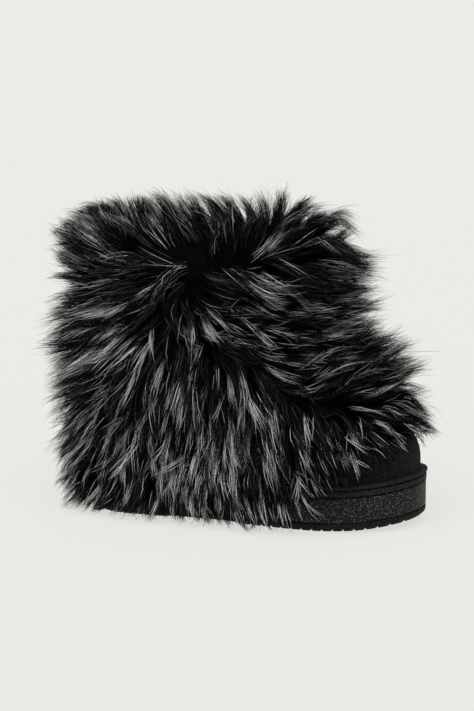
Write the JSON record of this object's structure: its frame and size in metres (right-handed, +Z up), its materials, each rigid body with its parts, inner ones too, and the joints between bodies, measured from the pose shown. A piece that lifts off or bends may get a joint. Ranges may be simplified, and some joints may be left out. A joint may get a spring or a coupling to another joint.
{
  "type": "apres ski boot",
  "caption": "Ankle-high winter boot on a thick grooved rubber platform: a hollow suede upper with a bare toe cap, wrapped to the floor in long silver-tipped fur.",
  "frame": {"origin": "middle of the heel's tread, on the floor", "axes": "+X from heel to toe, +Y to the inner side of the foot, +Z up"},
  "size_m": [0.3047, 0.2236, 0.249],
  "materials": {
    "black_rubber": "matt moulded rubber",
    "crumb_rubber": "matt crumb texture",
    "black_suede": "napped suede",
    "silver_tipped_fur": "long fur, black with silver tips",
    "insole_felt": "felt"
  },
  "bodies": {
    "root": {"outsole": "black_rubber", "midsole": "crumb_rubber", "welt": "black_rubber", "upper": "black_suede", "insole": "insole_felt", "fur_cover": "silver_tipped_fur"}
  },
  "joints": []
}
